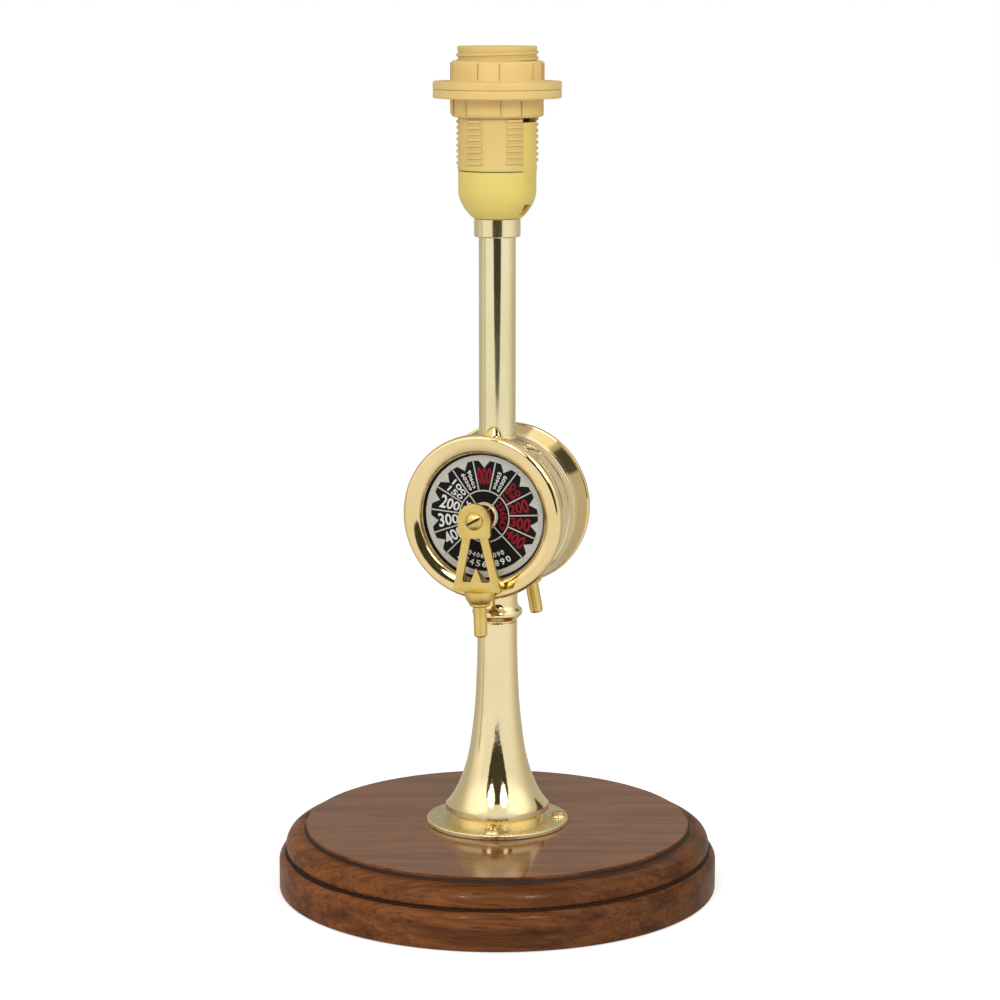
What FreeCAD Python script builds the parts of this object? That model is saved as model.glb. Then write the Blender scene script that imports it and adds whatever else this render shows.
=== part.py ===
import FreeCAD, Part
import math
import os

# Table lamp base in the form of a small ship's engine telegraph: wooden foot, brass column, two-faced
# head with a handle on each face, stem tube and an E14 lampholder with two shade rings.
# Frame: origin under the middle of the foot, +Z up, the front face looks along -Y. Millimetres.

V = FreeCAD.Vector

# ---- driving dimensions ----
foot_r = 77.5            # wooden foot, lower tier
foot_edge_z = 10.4       # where the lower tier's edge starts to round over
foot_tier_z = 13.5       # top of the lower tier
foot_shoulder_r = 75.0   # rounded shoulder between tier and disc
foot_disc_r = 67.8       # raised top disc
foot_z = 22.9            # top of the foot
foot_step = 2.1          # cove below the top disc
felt_proud = 0.2
felt_thick = 1.3
flange_r = 25.0
flange_z = 24.6
column_band_r = 18.2     # band at the mouth of the bell, its top
column_foot_r = 18.65    # its foot, on the flange
column_band_z = 30.1
column_z = 95.9          # top of the column
column_r = 7.05          # slender end
neck_r = 7.1
neck_bead_r = 8.85
neck_bead_z = 99.1
neck_z = 108.0           # top of the neck collar, on the drum's lower seat

head_z = 135.2           # axis of the two faces
land_r = 26.4            # drum between the bezels
land_half = 7.6
flank_rise = 0.45        # each flared flank starts this far above the land
groove_u = 0.7           # broad groove beside the plug
fine_groove_u = -3.2
band_back_u = -5.7       # rear shoulder of the land
drum_inner_r = 20.5
spigot_r = 24.4
shelf_u = 12.9           # end of the drum's spigot, where a dial rests
dial_thick = 0.8
dial_r = 23.9
rim_r = 28.8             # bezel rim
rim_back_u = 14.6
rim_front_u = 16.2
bezel_crown_u = 17.7
lip_r = 22.5
seat_z = 162.2           # seat that the stem stands on
plug_u = 3.6             # plug on the drum's upper right
plug_angle = 32.0        # degrees from the top
plug_r = 3.6

boss_r = 4.3
boss_u = 22.3
washer_thick = 0.5
plate_back_u = 22.9
plate_u = 24.5
hub_r = 6.0
screw_shoulder_r = 2.0
handle_bore_r = 2.05
bar_top = -21.3          # crossbar, measured down from the hub
bar_bottom = -24.7
arm_half_top = 4.35
arm_half_bottom = 8.6
arm_set_back = 0.7       # the frame's front lies this far behind the hub's
arm_back_u = 22.35
grip_axis_u = 20.7
grip_r = 2.35
grip_end = -41.0
handle_back_u = 18.6     # nothing on the handle reaches further back over the bezel
front_lean = 1.6         # degrees, where each handle stands at rest
rear_lean = 11.0

stem_r = 6.4
stem_inner_r = 5.5
stem_z = 230.5
stem_collar_r = 8.0
stem_collar_z = 237.0
pipe_r = 5.0             # M10 x 1 lamp pipe
pipe_bore_r = 3.5

holder_r = 13.6          # lampholder, smooth parts
thread_r = 14.0          # M28 x 2 outer thread
cap_r = 13.4
cap_foot_r = 8.8
cap_z = 252.3
barrel_z = 295.2
tab_angle = 81.0         # middle of the cap's snap tab, from -Y towards +X
tab_span = 43.0
tab_z = 269.7
slot_z = 271.8
ring_flange_r = 22.0
ring_collar_r = 16.15
ring_bore_r = 14.08
ring_split_z = 280.65    # where the two shade rings meet
ring_seam_edge = 0.15
upper_collar_z = 290.3
lower_collar_z = 271.3   # foot of the lower ring's collar
grip_panels = 5          # raised panels round each ring's collar
grip_hollow = 27.0       # degrees, the shallow hollow between two panels
grip_depth = 0.35
lower_grip_angle = 36.5  # middle of one hollow, from -Y towards +X
upper_grip_angle = 8.3
socket_r = 7.0           # E14 screw shell

flange_screw_angles = (-75.9, 16.1, 150.1)
flange_screw_circle = 21.7
cable_z = 7.0
cable_r = 3.5


# ---- small tools ----
def outline(start, *steps):
    """Closed face in the XZ plane. A step is a point, ("arc", mid, end) or ("curve", points)."""
    here = V(start[0], 0, start[1])
    first, edges = here, []
    for s in steps:
        if s[0] == "arc":
            mid, end = (V(p[0], 0, p[1]) for p in s[1:])
            edges.append(Part.Arc(here, mid, end).toShape())
        elif s[0] == "curve":
            pts = [here] + [V(p[0], 0, p[1]) for p in s[1]]
            end = pts[-1]
            bend = Part.BSplineCurve()
            bend.interpolate(pts)
            edges.append(bend.toShape())
        else:
            end = V(s[0], 0, s[1])
            edges.append(Part.makeLine(here, end))
        here = end
    if here.distanceToPoint(first) > 1e-6:
        edges.append(Part.makeLine(here, first))
    return Part.Face(Part.Wire(edges))


def turned(start, *steps):
    """Solid turned about +Z."""
    return outline(start, *steps).revolve(V(0, 0, 0), V(0, 0, 1), 360)


def tube(outer, inner, z0, z1):
    return turned((inner, z0), (outer, z0), (outer, z1), (inner, z1))


def rod(r, z0, z1, x=0.0, y=0.0):
    return Part.makeCylinder(r, z1 - z0, V(x, y, z0))


def hexagon(across, z0, z1, bore):
    r = across / math.sqrt(3)
    pts = [V(r * math.cos(math.radians(60 * i)), r * math.sin(math.radians(60 * i)), z0) for i in range(7)]
    body = Part.Face(Part.makePolygon(pts)).extrude(V(0, 0, z1 - z0))
    cone = turned((0, z0 - 1), (r + 1, z0 - 1), (r + 1, z0 + 0.1), (r - 0.5, z1), (0, z1))
    return body.common(cone).cut(rod(bore, z0 - 1, z1 + 1))


def plate(points, u0, u1):
    """Flat plate from a list of (x, y) corners, standing from u0 to u1 off the head's middle."""
    pts = [V(x, y, u0) for x, y in points]
    return Part.Face(Part.makePolygon(pts + pts[:1])).extrude(V(0, 0, u1 - u0))


def turn_z(shape, degrees):
    s = shape.copy()
    s.rotate(V(0, 0, 0), V(0, 0, 1), degrees)
    return s


def front(shape):
    """Face frame (x right, y up, z out of the face) to the front of the head."""
    s = shape.copy()
    s.rotate(V(0, 0, 0), V(1, 0, 0), 90)
    s.translate(V(0, 0, head_z))
    return s


def rear(shape):
    return turn_z(front(shape), 180)


# ---- foot ----
def wood_base():
    r, s, d, t, top = foot_r, foot_shoulder_r, foot_disc_r, foot_tier_z, foot_z
    cove = top - foot_step
    body = turned((0, felt_proud), (r - 0.6, felt_proud),
                  ("arc", (r - 0.2, felt_proud + 0.2), (r, felt_proud + 0.6)), (r, foot_edge_z),
                  ("arc", (r - 0.85, t - 0.98), (s - 0.4, t)), (s - 0.7, t + 0.3),
                  ("curve", [(s, t + 1.8), (s - 0.15, t + 3.6), (s - 1.0, t + 5.3), (s - 2.8, t + 6.6),
                             (d + 1.8, cove)]),
                  ("arc", (d + 0.5, cove + 0.3), (d, cove + 1.2)), (d, top - 0.4),
                  ("arc", (d - 0.1, top - 0.1), (d - 0.4, top)), (0, top))
    recess = rod(70.0, -1, felt_thick)
    cavity = rod(17.0, 0, 11.0)
    bore = rod(pipe_r + 0.3, 10, foot_z + 1)
    cable = Part.makeCylinder(cable_r, foot_r, V(0, 10, cable_z), V(0, 1, 0))
    body = body.cut(recess).cut(cavity).cut(bore).cut(cable)
    for a in flange_screw_angles:
        d = math.radians(a)
        body = body.cut(rod(1.5, foot_z - 9.5, foot_z + 1, flange_screw_circle * math.cos(d),
                            flange_screw_circle * math.sin(d)))
    return body


def felt_pad():
    return rod(69.6, 0, felt_thick)


def foot_flange():
    r, b = flange_r, pipe_r + 0.1
    disc = turned((b, foot_z), (r - 0.25, foot_z), (r, foot_z + 0.3), (r, flange_z - 0.4),
                  ("arc", (r - 0.12, flange_z - 0.12), (r - 0.4, flange_z)), (b, flange_z))
    for a in flange_screw_angles:
        d = math.radians(a)
        x, y = flange_screw_circle * math.cos(d), flange_screw_circle * math.sin(d)
        sink = Part.makeCone(1.6, 3.0, flange_z - foot_z + 0.02, V(x, y, foot_z - 0.01))
        disc = disc.cut(sink)
    return disc


def flange_screws():
    screws = []
    for a in flange_screw_angles:
        head = turned((0, foot_z - 9), (0.5, foot_z - 9), (1.35, foot_z - 7.5), (1.35, foot_z - 0.15),
                      (2.85, flange_z - 0.05), (2.85, flange_z + 0.2),
                      ("arc", (1.75, flange_z + 1.4), (0, flange_z + 1.8)))
        slot = Part.makeBox(8, 0.8, 1.4, V(-4, -0.4, flange_z + 0.9))
        s = turn_z(head.cut(slot), 25)
        d = math.radians(a)
        s.translate(V(flange_screw_circle * math.cos(d), flange_screw_circle * math.sin(d), 0))
        screws.append(s)
    return Part.makeCompound(screws)


def foot_washer():
    return tube(13.0, pipe_r + 0.15, 9.6, 11.0)


def foot_nut():
    return hexagon(14.0, 6.6, 9.6, pipe_r)


def foot_pipe():
    return tube(pipe_r, pipe_bore_r, 4.6, 119.5)


# ---- column and neck ----
def pedestal_column():
    b = pipe_r + 0.1
    return turned((b, flange_z), (column_foot_r, flange_z), (column_band_r, column_band_z - 0.3),
                  (column_band_r - 0.3, column_band_z),
                  ("curve", [(14.2, 35.8), (11.8, 41.9), (10.25, 47.8), (8.9, 56.5), (7.95, 65.3),
                             (7.4, 75.0), (column_r, 87.0), (column_r, column_z - 0.3)]),
                  (column_r - 0.3, column_z), (b, column_z))


def neck_collar():
    b, r, z = pipe_r + 0.1, neck_bead_r, neck_bead_z
    return turned((b, column_z), (6.2, column_z), (6.2, z - 2.75), (7.0, z - 2.65), (7.3, z - 2.3),
                  ("arc", (7.55, z - 1.9), (8.2, z - 1.2)), (8.4, z - 1.25), ("arc", (r, z), (8.35, z + 1.2)),
                  (8.05, z + 1.2), ("arc", (7.35, z + 2.5), (neck_r, z + 4.6)), (neck_r, neck_z), (b, neck_z))


# ---- head ----
def drum_body():
    r, b, f = land_r, groove_u, fine_groove_u
    ring = turned((drum_inner_r, -shelf_u), (spigot_r, -shelf_u), (spigot_r, -land_half),
                  (r + flank_rise, -land_half), (r + 0.1, band_back_u), (r, band_back_u + 0.1),
                  (r, f - 0.3), (r - 0.3, f), (r + 0.12, f + 0.3),
                  (r + 0.12, b - 0.4), (r - 0.5, b - 0.25), (r - 0.5, b + 0.25), (r, b + 0.4),
                  (r, land_half), (spigot_r, land_half), (spigot_r, shelf_u), (drum_inner_r, shelf_u))
    drum = front(ring)
    top_seat = turned((0, head_z + 22), (stem_r, head_z + 22), (stem_r, seat_z - 0.3),
                      (stem_r - 0.6, seat_z - 0.3), (stem_r - 0.6, seat_z), (0, seat_z))
    drum = drum.fuse(top_seat).fuse(rod(neck_r - 0.2, neck_z, head_z - 22)).removeSplitter()
    drum = drum.cut(rod(8.6, head_z - drum_inner_r, head_z + drum_inner_r))
    drum = drum.cut(rod(pipe_r + 0.02, neck_z - 1, seat_z + 1))
    return drum.cut(plug_hole())


def plug_place(shape):
    """From upright at the origin to the plug's place on the upper right of the drum."""
    s = shape.copy()
    s.translate(V(0, -plug_u, land_r))
    s.rotate(V(0, 0, 0), V(0, 1, 0), plug_angle)
    s.translate(V(0, 0, head_z))
    return s


def plug_hole():
    r = plug_r + 0.2
    return plug_place(turned((0, -2.2), (1.6, -2.2), (1.6, -1.4), (r, -0.9), (r, 2), (0, 2)))


def drum_plug():
    r = plug_r
    head = turned((0, -2.15), (1.5, -2.15), (1.5, -1.35), (r, -0.85), (r, -0.3), (r - 0.25, -0.1),
                  ("arc", (r * 0.5, 0.1), (0, 0.2)))
    slot = Part.makeBox(8, 0.8, 1.0, V(-4, -0.4, -0.6))
    return plug_place(head.cut(turn_z(slot, 62)))


def drum_nut():
    return hexagon(14.0, head_z - drum_inner_r, head_z - drum_inner_r + 3.0, pipe_r)


def bezel():
    s, d, c = spigot_r + 0.02, shelf_u + dial_thick + 0.02, bezel_crown_u
    return turned((s, land_half), (land_r + flank_rise, land_half), (rim_r - 0.45, rim_back_u - 0.1),
                  (rim_r - 0.15, rim_back_u), (rim_r, rim_back_u + 0.2), (rim_r, rim_front_u - 0.35),
                  ("arc", (rim_r - 0.1, rim_front_u - 0.1), (rim_r - 0.35, rim_front_u)),
                  ("curve", [(rim_r - 0.8, c - 0.85), (rim_r - 1.6, c - 0.4), (rim_r - 2.8, c - 0.1),
                             (rim_r - 4.0, c), (lip_r + 1.25, c - 0.1), (lip_r + 0.5, c - 0.5),
                             (lip_r + 0.1, c - 1.1), (lip_r, c - 1.8)]),
                  (lip_r, d), (s, d))


def dial():
    return tube(dial_r, 3.05, shelf_u, shelf_u + dial_thick)


def dial_boss():
    d = shelf_u + dial_thick
    return turned((1.62, 10.0), (3.0, 10.0), (3.0, d), (boss_r + 0.3, d), (boss_r + 0.3, d + 0.8),
                  (boss_r, d + 1.1), (boss_r, boss_u - 0.3), (boss_r - 0.3, boss_u), (1.62, boss_u))


def boss_nut():
    return hexagon(9.0, shelf_u - 2.4, shelf_u, 3.02)


def hub_washer():
    return tube(3.9, screw_shoulder_r + 0.05, boss_u + 0.02, boss_u + washer_thick)


def hub_screw():
    top = plate_u + 0.06
    s = turned((0, boss_u - 8), (1.6, boss_u - 8), (1.6, boss_u), (screw_shoulder_r, boss_u),
               (screw_shoulder_r, top), (3.0, top), (3.0, top + 0.5),
               ("arc", (1.8, top + 1.5), (0, top + 1.9)))
    slot = Part.makeBox(8, 0.9, 1.6, V(-4, -0.45, top + 0.75))
    return s.cut(turn_z(slot, 30))


def handle():
    """Flat A-frame: hub eye, two spread arms, crossbar and a pointer that rises from the crossbar."""
    eye = Part.makeCylinder(hub_r, plate_u - plate_back_u, V(0, 0, plate_back_u))
    h = hub_r
    eye = eye.fuse(plate([(0.1 - h, -0.8), (h - 0.1, -0.8), (h - 0.3, -5.2), (h - 1.1, -h), (1.1 - h, -h),
                          (0.3 - h, -5.2)], plate_back_u, plate_u))
    at, ab, bt, bb = arm_half_top, arm_half_bottom, bar_top, bar_bottom
    frame = plate([(-at, -4.5), (at, -4.5), (ab, bb + 0.7), (ab - 0.7, bb), (0.7 - ab, bb), (-ab, bb + 0.7)],
                  handle_back_u, plate_u - arm_set_back)
    window = plate([(-1.65, -hub_r), (1.65, -hub_r), (4.95, bt + 1.2), (4.9, bt + 0.4), (4.3, bt), (2.1, bt),
                    (0, -16.4), (-2.1, bt), (-4.3, bt), (-4.9, bt + 0.4), (-4.95, bt + 1.2)],
                   handle_back_u - 1, plate_u + 1)
    # the back is swept from the thin arms into the thick crossbar
    sweep = Part.Face(Part.makePolygon([V(-12, p[1], p[0]) for p in (
        (handle_back_u - 1, 0), (arm_back_u, 0), (arm_back_u, -17.0), (arm_back_u - 1.2, -19.0),
        (handle_back_u + 0.4, -20.8), (handle_back_u, -22.0), (handle_back_u - 1, -22.0),
        (handle_back_u - 1, 0))])).extrude(V(24, 0, 0))
    frame = frame.cut(window).cut(sweep)
    body = eye.fuse(frame).removeSplitter()
    return body.cut(Part.makeCylinder(handle_bore_r, 20, V(0, 0, 15)))


def grip():
    """Half-round boss under the crossbar, with the round rod below it."""
    r, e = grip_r, grip_end
    spun = turned((0, e), (r - 1.1, e), ("arc", (r - 0.3, e + 0.3), (r, e + 1.1)), (r, -30.2), (3.3, -30.1),
                  (3.7, -29.7), (3.75, -29.1), ("arc", (5.0, -27.1), (5.5, -25.2)), (5.5, bar_bottom),
                  (0, bar_bottom))
    spun.rotate(V(0, 0, 0), V(1, 0, 0), -90)
    spun.translate(V(0, 0, grip_axis_u))
    back = Part.makeBox(20, 7.0, 20, V(-10, bar_bottom - 5.5, handle_back_u - 20))
    return spun.cut(back)


# ---- stem ----
def stem_tube():
    return tube(stem_r, stem_inner_r, seat_z, stem_z)


def stem_pipe():
    return tube(pipe_r, pipe_bore_r, head_z + drum_inner_r - 4.5, 243.6)


def stem_nut():
    z = head_z + drum_inner_r
    return hexagon(14.0, z - 3.0, z, pipe_r)


def stem_collar():
    c = 0.35
    b = pipe_r + 0.02
    return turned((b, stem_z), (stem_collar_r - c, stem_z), (stem_collar_r, stem_z + c),
                  (stem_collar_r, stem_collar_z - c), (stem_collar_r - c, stem_collar_z), (b, stem_collar_z))


# ---- lampholder ----
def sector(r0, r1, z0, z1, middle, span):
    block = outline((r0, z0), (r1, z0), (r1, z1), (r0, z1)).revolve(V(0, 0, 0), V(0, 0, 1), span)
    return turn_z(block, middle - 90 - span / 2)


def holder_cap():
    z = stem_collar_z
    body = turned((pipe_r + 0.02, z), (cap_foot_r - 0.4, z), (cap_foot_r, z + 0.3),
                  ("curve", [(10.6, z + 2.3), (12.3, z + 5.0), (13.2, z + 7.6), (cap_r, z + 10.0)]),
                  (cap_r, cap_z - 0.3), (cap_r - 0.3, cap_z), (11.8, cap_z), (11.8, z + 9.0),
                  ("arc", (10.4, z + 4.6), (7.5, z + 2.2)), (pipe_r + 0.02, z + 2.2))
    for a in (tab_angle, tab_angle + 180):
        body = body.fuse(sector(11.9, cap_r + 0.1, cap_z - 2, tab_z, a, tab_span))
        notch = Part.makeBox(4.0, 4.8, 3.6, V(8.6, -2.4, z + 1.2))
        body = body.cut(turn_z(notch, a - 90))
    return body


def holder_barrel():
    """Insulating barrel: outer thread for the shade rings, open mouth, two slots for the cap's tabs."""
    z0, z1 = cap_z + 0.15, barrel_z
    body = turned((11.9, z0), (holder_r - 0.1, z0), (holder_r, z0 + 0.2), (holder_r, 254.7),
                  (thread_r, 255.1), (thread_r, 293.6), (holder_r, 294.0), (holder_r, z1 - 0.5),
                  ("arc", (holder_r - 0.15, z1 - 0.15), (holder_r - 0.5, z1)), (11.5, z1), (11.0, z1 - 0.5),
                  (11.0, 264.0), (11.9, 264.0))
    for a in (tab_angle, tab_angle + 180):
        body = body.cut(sector(11.0 - 1, thread_r + 1, z0 - 1, slot_z, a, tab_span + 1.6))
    return body


def contact_carrier():
    """Moulded insert that carries the screw shell and the two contacts."""
    body = turned((0, 246.0), (8.5, 246.0), (9.2, 246.6), (9.2, 253.0), (10.9, 253.0), (10.9, 263.9),
                  (8.05, 263.9), (8.05, 262.0), (0, 262.0))
    for s in (-1, 1):
        body = body.cut(rod(1.5, 247.5, 255.2, 5.4 * s, 0))
        body = body.cut(Part.makeBox(5.0, 4.4, 3.6, V(5.4 * s - 2.5, -2.2, 245.0)))
    body = body.cut(Part.makeBox(5.0, 1.6, 4.0, V(-4.6, -0.8, 259.0)))
    return body


def terminal_screws():
    screws = []
    for s in (-1, 1):
        head = turned((0, 245.8), (1.9, 245.8), (2.1, 246.1), (2.1, 247.6), (1.45, 247.6), (1.45, 253.8),
                      (0, 253.8))
        head = head.cut(Part.makeBox(5, 0.7, 1.0, V(-2.5, -0.35, 245.5)))
        head.translate(V(5.4 * s, 0, 0.85))
        screws.append(head)
    return Part.makeCompound(screws)


def screw_shell():
    """Sheet-brass E14 shell: wide foot held by the carrier, thread-sized wall, flared mouth."""
    r, t = socket_r, 0.4
    return turned((7.6, 262.05), (8.0, 262.05), (8.0, 265.6), (r + t, 266.6), (r + t, 284.0),
                  (r + 1.2, 285.2), (r + 0.9, 285.5), (r, 284.4), (r, 266.8), (7.6, 265.6))


def centre_contact():
    """Bent spring tongue: foot in the carrier's slot, rising to the middle of the socket."""
    side = Part.Face(Part.makePolygon([V(x, -0.75, z) for x, z in (
        (-4.5, 259.05), (-3.9, 259.05), (-3.9, 262.4), (0.6, 265.6), (1.9, 265.2), (2.2, 265.7), (0.6, 266.3),
        (-4.5, 262.8), (-4.5, 259.05))]))
    return side.extrude(V(0, 1.5, 0))


def collar_grip(ring, z0, z1, first):
    """Cuts the hollows between the grip panels; first is where one hollow is centred."""
    for i in range(grip_panels):
        middle = first + 360 / grip_panels * i
        ring = ring.cut(sector(ring_collar_r - grip_depth, ring_collar_r + 1, z0, z1, middle, grip_hollow))
    return ring


def shade_ring_lower():
    """Flange on top, collar below, tapering at its foot."""
    r, c, e = ring_flange_r, ring_collar_r, ring_seam_edge
    z0, z1 = lower_collar_z, ring_split_z - 0.05
    z = z1 - 2.95
    ring = turned((ring_bore_r, z0), (c - 1.4, z0), ("arc", (c - 0.5, z0 + 0.6), (c - 0.1, z0 + 2.3)),
                  (c, z - 0.5), (c + 0.5, z), (r - 0.5, z), ("arc", (r - 0.15, z + 0.15), (r, z + 0.5)),
                  (r, z1 - e), (r - e, z1), (ring_bore_r, z1))
    return collar_grip(ring, z0 - 1, z - 0.5, lower_grip_angle)


def shade_ring_upper():
    r, c, e = ring_flange_r, ring_collar_r, ring_seam_edge
    z0, top = ring_split_z + 0.05, upper_collar_z
    z = z0 + 2.7
    ring = turned((ring_bore_r, z0), (r - e, z0), (r, z0 + e), (r, z - 0.5),
                  ("arc", (r - 0.15, z - 0.15), (r - 0.5, z)), (c + 0.5, z), (c, z + 0.5), (c, top - 1.4),
                  ("arc", (c - 0.4, top - 0.4), (c - 1.4, top)), (ring_bore_r, top))
    return collar_grip(ring, z + 0.5, top + 1, upper_grip_angle)


# ---- write every node ----
def nodes():
    swing_f, swing_r = turn_z(handle(), front_lean), turn_z(handle(), -rear_lean)
    grip_f, grip_r_ = turn_z(grip(), front_lean), turn_z(grip(), -rear_lean)
    yield "wood_base", wood_base()
    yield "felt_pad", felt_pad()
    yield "foot_flange", foot_flange()
    yield "flange_screws", flange_screws()
    yield "foot_washer", foot_washer()
    yield "foot_nut", foot_nut()
    yield "foot_pipe", foot_pipe()
    yield "pedestal_column", pedestal_column()
    yield "neck_collar", neck_collar()
    yield "drum_body", drum_body()
    yield "drum_plug", drum_plug()
    yield "drum_nut", drum_nut()
    yield "front_bezel", front(bezel())
    yield "rear_bezel", rear(bezel())
    yield "front_dial", front(dial())
    yield "rear_dial", rear(dial())
    yield "front_boss", front(dial_boss())
    yield "rear_boss", rear(dial_boss())
    yield "front_boss_nut", front(boss_nut())
    yield "rear_boss_nut", rear(boss_nut())
    yield "front_washer", front(hub_washer())
    yield "rear_washer", rear(hub_washer())
    yield "front_hub_screw", front(hub_screw())
    yield "rear_hub_screw", rear(hub_screw())
    yield "front_handle", front(swing_f)
    yield "rear_handle", rear(swing_r)
    yield "front_grip", front(grip_f)
    yield "rear_grip", rear(grip_r_)
    yield "stem_tube", stem_tube()
    yield "stem_pipe", stem_pipe()
    yield "stem_nut", stem_nut()
    yield "stem_collar", stem_collar()
    yield "holder_cap", holder_cap()
    yield "holder_barrel", holder_barrel()
    yield "contact_carrier", contact_carrier()
    yield "terminal_screws", terminal_screws()
    yield "screw_shell", screw_shell()
    yield "centre_contact", centre_contact()
    yield "shade_ring_lower", shade_ring_lower()
    yield "shade_ring_upper", shade_ring_upper()


os.makedirs("parts", exist_ok=True)
for name, shape in nodes():
    if not shape.isValid() or not shape.Solids:
        raise SystemExit(f"{name}: bad shape")
    shape.exportStep(f"parts/{name}.step")
    print(f"{name:18s} {len(shape.Solids)} solid(s) {shape.Volume:10.1f} mm3")
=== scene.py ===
import math

import bmesh
import bpy
from mathutils import Matrix, Vector
from mathutils.bvhtree import BVHTree


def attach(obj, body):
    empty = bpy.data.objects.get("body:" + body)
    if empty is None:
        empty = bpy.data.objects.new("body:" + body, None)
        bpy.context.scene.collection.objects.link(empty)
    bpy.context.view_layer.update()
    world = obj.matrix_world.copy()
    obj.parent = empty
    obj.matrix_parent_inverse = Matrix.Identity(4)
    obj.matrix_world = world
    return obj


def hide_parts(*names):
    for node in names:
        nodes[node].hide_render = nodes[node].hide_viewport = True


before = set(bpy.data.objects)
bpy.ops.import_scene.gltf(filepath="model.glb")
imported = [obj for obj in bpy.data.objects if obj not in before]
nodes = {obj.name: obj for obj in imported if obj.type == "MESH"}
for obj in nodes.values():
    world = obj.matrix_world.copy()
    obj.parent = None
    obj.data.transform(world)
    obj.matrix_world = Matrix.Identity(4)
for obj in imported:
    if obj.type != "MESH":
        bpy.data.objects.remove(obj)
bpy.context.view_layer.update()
mm = 0.001
headHeight = 135.2             # middle of the two-faced head, mm
print("frame loaded:", len(nodes), "nodes")


# what every new mesh shares: gaps in m, angles in degrees
meshSettings = {
    "doublesGap": 1e-7,        # vertices of a finished piece this near each other are one
    "nodeGap": 2e-6,           # the same for the loose triangles of a CAD node
    "flatAngle": 0.4,          # faces that meet at less than this are joined
    "sharpAngle": 32,          # faces that meet at more than this keep a sharp edge
    "bevelAngle": 30,
    "bevelSegments": 2,
}


def addObject(name, data):
    obj = bpy.data.objects.new(name, data)
    bpy.context.scene.collection.objects.link(obj)
    return obj


def sharpEdges(bm, angle):
    return [e for e in bm.edges if len(e.link_faces) == 2 and e.calc_face_angle(0) > math.radians(angle)]


def finishMesh(bm, name, materials, smooth=True, sharpAngle=meshSettings["sharpAngle"]):
    bmesh.ops.remove_doubles(bm, verts=bm.verts, dist=meshSettings["doublesGap"])
    bmesh.ops.recalc_face_normals(bm, faces=bm.faces)
    for face in bm.faces:
        face.smooth = smooth
    for edge in sharpEdges(bm, sharpAngle):
        edge.smooth = False
    mesh = bpy.data.meshes.new(name)
    bm.to_mesh(mesh)
    bm.free()
    for material in materials:
        mesh.materials.append(material)
    return addObject(name, mesh)


def copyNode(name, joinFaces=True):
    # a merged bmesh copy of a CAD node, with its flat faces joined up again
    bm = bmesh.new()
    bm.from_mesh(nodes[name].data)
    bmesh.ops.remove_doubles(bm, verts=bm.verts, dist=meshSettings["nodeGap"])
    if joinFaces:
        flat = math.radians(meshSettings["flatAngle"])
        bmesh.ops.dissolve_limit(bm, angle_limit=flat, verts=bm.verts, edges=bm.edges)
    return bm


def bevelSharp(bm, width):
    sharp = sharpEdges(bm, meshSettings["bevelAngle"])
    bmesh.ops.bevel(bm, geom=sharp, offset=width * mm, offset_type="OFFSET", profile=0.5, affect="EDGES",
                    segments=meshSettings["bevelSegments"], clamp_overlap=True, material=-1)


def joinInto(target, bm, materialIndex):
    for face in bm.faces:
        face.material_index = materialIndex
    mesh = bpy.data.meshes.new("joined")
    bm.to_mesh(mesh)
    bm.free()
    target.from_mesh(mesh)
    bpy.data.meshes.remove(mesh)


def profileVerts(bm, points):
    # vertices at (radius, height) points, in mm, in the XZ plane
    return [bm.verts.new((r * mm, 0, z * mm)) for r, z in points]


def spinProfile(bm, points, steps):
    # a closed outline, turned once round the upright axis
    verts = profileVerts(bm, points)
    edges = [bm.edges.new(pair) for pair in zip(verts, verts[1:] + verts[:1])]
    bmesh.ops.spin(bm, geom=verts + edges, cent=(0, 0, 0), axis=(0, 0, 1), angle=math.tau, steps=steps,
                   use_merge=True)


def turnVerts(bm, verts, degrees):
    # round the upright axis, against the clock as seen from above
    turn = Matrix.Rotation(math.radians(degrees), 3, "Z")
    bmesh.ops.rotate(bm, verts=verts, cent=(0, 0, 0), matrix=turn)


def liftNew(bm, made, height):
    # raises what an extrusion has just made
    verts = [v for v in made["geom"] if isinstance(v, bmesh.types.BMVert)]
    bmesh.ops.translate(bm, vec=(0, 0, height), verts=verts)


def turnedBar(size, centre, degrees):
    # a plain box, in mm, put at its centre and then turned round the upright axis
    bm = bmesh.new()
    bmesh.ops.create_cube(bm, size=1)
    bmesh.ops.scale(bm, vec=[side * mm for side in size], verts=bm.verts)
    bmesh.ops.translate(bm, vec=[side * mm for side in centre], verts=bm.verts)
    turnVerts(bm, bm.verts, degrees)
    return bm


def radiusOf(vert):
    return math.hypot(vert.co.x, vert.co.y)


def setRadius(vert, radius):
    # moves a vertex level, straight in or out, to this distance from the upright axis
    share = radius / radiusOf(vert)
    vert.co.x *= share
    vert.co.y *= share


def faceMatrix(rearSide):
    # from a face's own frame (x right, y up, z out of the face) to the lamp's
    front = Matrix.Translation((0, 0, headHeight * mm)) @ Matrix.Rotation(math.radians(90), 4, "X")
    return Matrix.Rotation(math.pi, 4, "Z") @ front if rearSide else front


def place(piece, body, slot, *replaced):
    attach(piece, body)
    if replaced:
        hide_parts(*replaced)


def emptyTree(owner):
    owner.use_nodes = True
    owner.node_tree.nodes.clear()
    return owner.node_tree


def fillInputs(tree, made, inputs):
    # an input takes a plain value, or a link where it is given another node's output
    for key, value in inputs.items():
        if isinstance(value, bpy.types.NodeSocket):
            tree.links.new(value, made.inputs[key])
        else:
            made.inputs[key].default_value = value


def addNode(tree, kind, inputs=None, **settings):
    made = tree.nodes.new(kind)
    for key, value in settings.items():
        setattr(made, key, value)
    fillInputs(tree, made, inputs or {})
    return made


def mathNode(tree, operation, a, b=0.0):
    return addNode(tree, "ShaderNodeMath", {0: a, 1: b}, operation=operation).outputs[0]


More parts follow.
